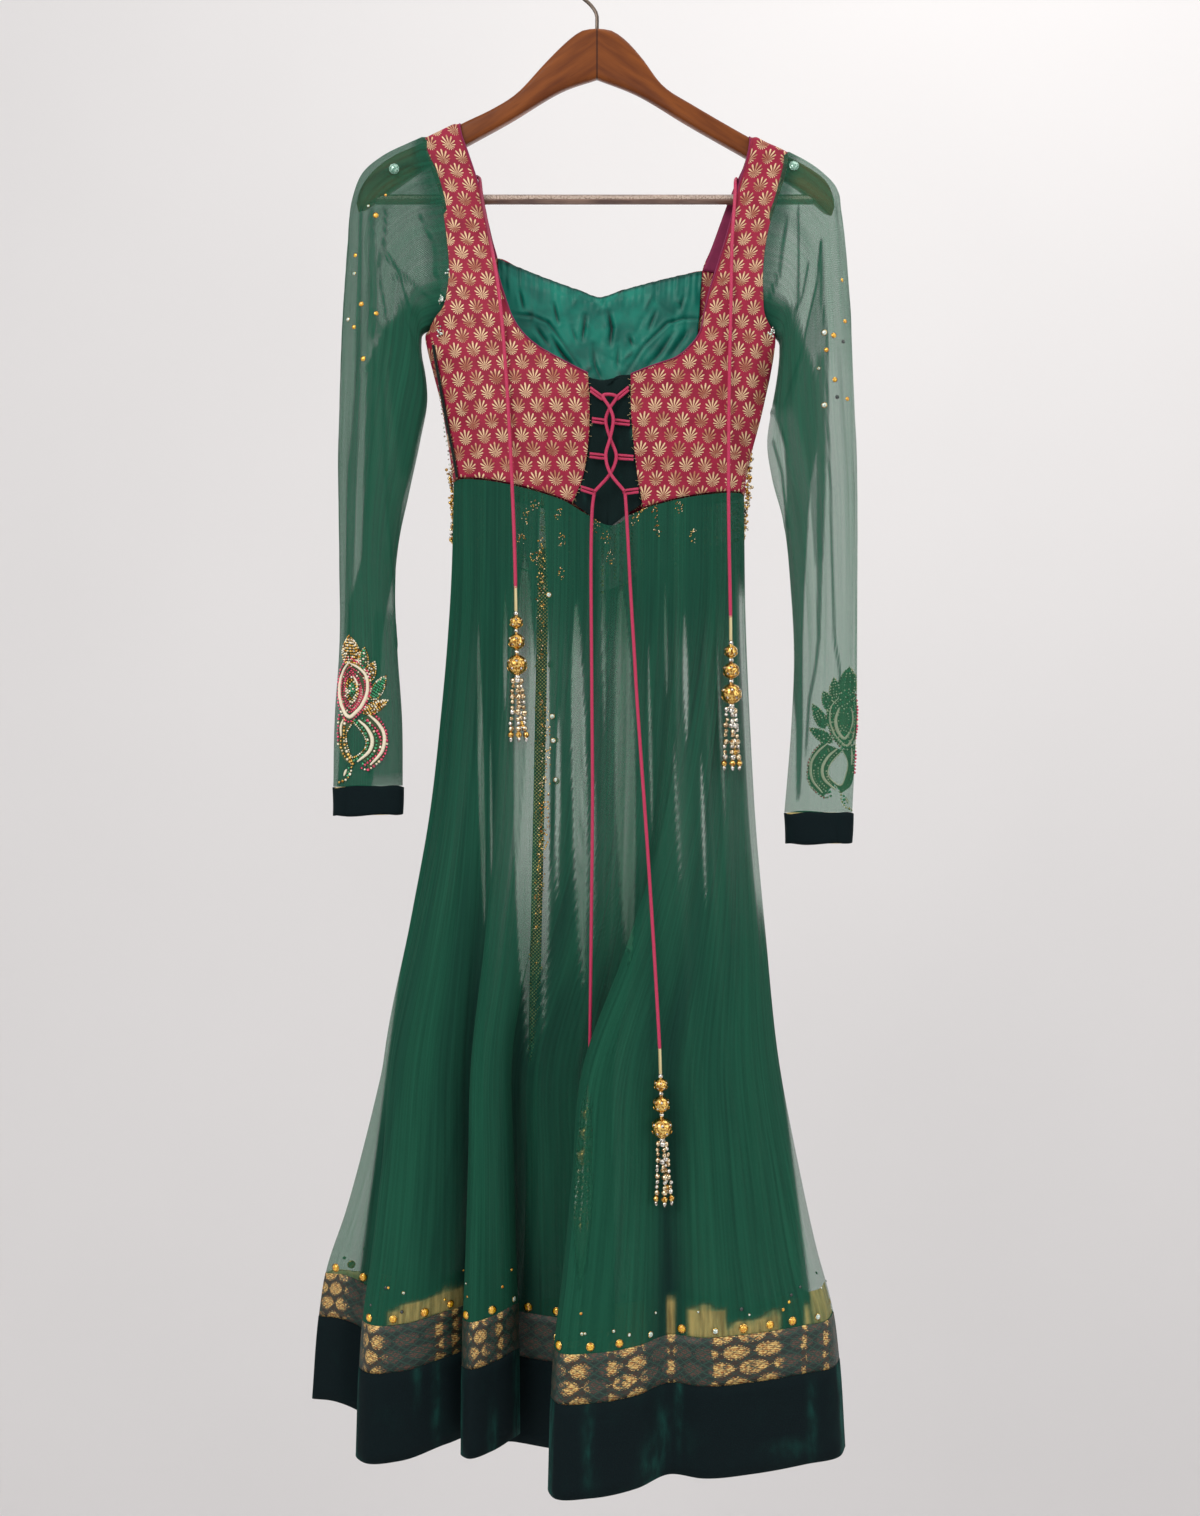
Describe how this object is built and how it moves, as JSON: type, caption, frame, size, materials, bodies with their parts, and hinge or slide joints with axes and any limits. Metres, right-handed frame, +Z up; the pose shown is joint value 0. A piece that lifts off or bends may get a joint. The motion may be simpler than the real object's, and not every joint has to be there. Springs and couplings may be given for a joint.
{
  "type": "embroidered anarkali kurta on a wooden hanger",
  "caption": "Sheer green net anarkali kurta with a laced crimson brocade bodice, long net sleeves and a velvet and gold hem, hanging on a wooden clothes hanger.",
  "frame": {"origin": "inside top of the hanger's hook, where it rests on a rail or nail", "axes": "+Z up along the garment's length, +X to the viewer's right, -Y out of the kurta's front"},
  "size_m": [0.5178, 0.133, 1.4071],
  "materials": {
    "hanger_wood": "varnished brown",
    "hanger_bar": "dark lacquer, glossy",
    "hook_steel": "bright",
    "crimson_brocade": "woven brocade, small gold fan motifs",
    "teal_satin": "satin sheen",
    "magenta_backing": "plain weave",
    "dark_zip": "coil zip tape",
    "green_velvet": "velvet nap",
    "crimson_cord": "braided cord",
    "green_net": "sheer net",
    "gold_tissue": "metallic tissue weave",
    "copper_brocade": "metallic brocade under net",
    "beadwork": "gold and silver beads and cord"
  },
  "bodies": {
    "root": {"hanger_arm_left": "hanger_wood", "hanger_arm_right": "hanger_wood", "hanger_bar": "hanger_bar", "hanger_hook": "hook_steel", "bodice_front_left": "crimson_brocade", "bodice_front_right": "crimson_brocade", "bodice_back": "crimson_brocade", "back_lining": "teal_satin", "strap_lining_left": "magenta_backing", "strap_lining_right": "magenta_backing", "side_zip": "dark_zip", "lacing_placket": "green_velvet", "cuff_left": "green_velvet", "cuff_right": "green_velvet", "hem_velvet_front": "green_velvet", "hem_velvet_back": "green_velvet", "lace_loop_left_1": "crimson_cord", "lace_loop_left_2": "crimson_cord", "lace_loop_left_3": "crimson_cord", "lace_loop_left_4": "crimson_cord", "lace_loop_right_1": "crimson_cord", "lace_loop_right_2": "crimson_cord", "lace_loop_right_3": "crimson_cord", "lace_loop_right_4": "crimson_cord", "lace_threaded": "crimson_cord", "neck_cord_left": "crimson_cord", "neck_cord_right": "crimson_cord", "lace_end_left": "crimson_cord", "lace_end_right": "crimson_cord", "sleeve_left": "green_net", "sleeve_right": "green_net", "skirt_front": "green_net", "skirt_back": "green_net", "cuff_facing_left": "gold_tissue", "cuff_facing_right": "gold_tissue", "hem_facing_back": "gold_tissue", "back_strip": "gold_tissue", "hem_brocade_front": "copper_brocade", "hem_brocade_back": "copper_brocade", "applique_left": "beadwork", "applique_right": "beadwork", "back_border": "beadwork", "tassel_neck_left": "beadwork", "tassel_neck_right": "beadwork", "tassel_lace_left": "beadwork", "tassel_lace_right": "beadwork"}
  },
  "joints": []
}
